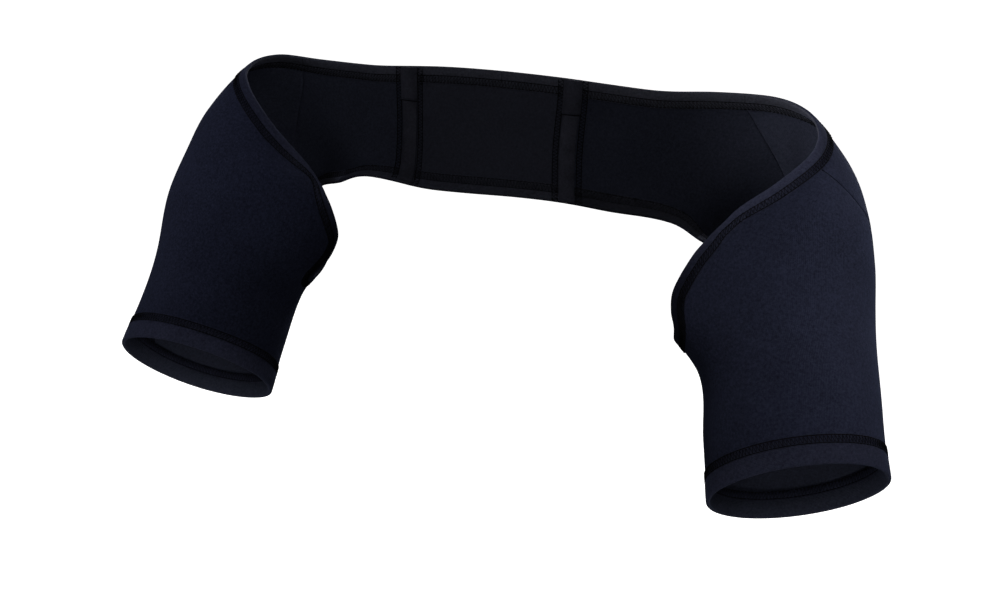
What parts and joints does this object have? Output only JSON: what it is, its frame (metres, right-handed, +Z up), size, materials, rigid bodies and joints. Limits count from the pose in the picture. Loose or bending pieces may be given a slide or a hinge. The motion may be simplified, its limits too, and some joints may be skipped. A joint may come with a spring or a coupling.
{
  "type": "posture corrector",
  "caption": "Shrug-like posture corrector: short stretch sleeves joined by a straight upper-back band with inside stay casings, hemmed edges; pulls the shoulders back.",
  "frame": {"origin": "inside face of the back panel, half way up the band and half way between the shoulders, where the garment sits on the wearer's back", "axes": "+X to the wearer's left, +Y to the wearer's back, +Z up"},
  "size_m": [0.5313, 0.1443, 0.2676],
  "materials": {
    "cloth": "matte fine knit, very dark navy grey",
    "inner": "matte fine knit, near black",
    "hem": "matte folded knit with dark stitching",
    "casing": "matte woven tape, near black"
  },
  "bodies": {
    "root": {"back_panel": "inner", "back_wing_left": "cloth", "back_wing_right": "cloth", "sleeve_front_left": "cloth", "sleeve_back_left": "cloth", "sleeve_front_right": "cloth", "sleeve_back_right": "cloth", "opening_hem_left": "hem", "opening_hem_right": "hem", "cuff_hem_left": "hem", "cuff_hem_right": "hem", "casing_tape_left": "casing", "casing_tape_right": "casing", "casing_flap_left": "casing", "casing_flap_right": "casing"}
  },
  "joints": []
}
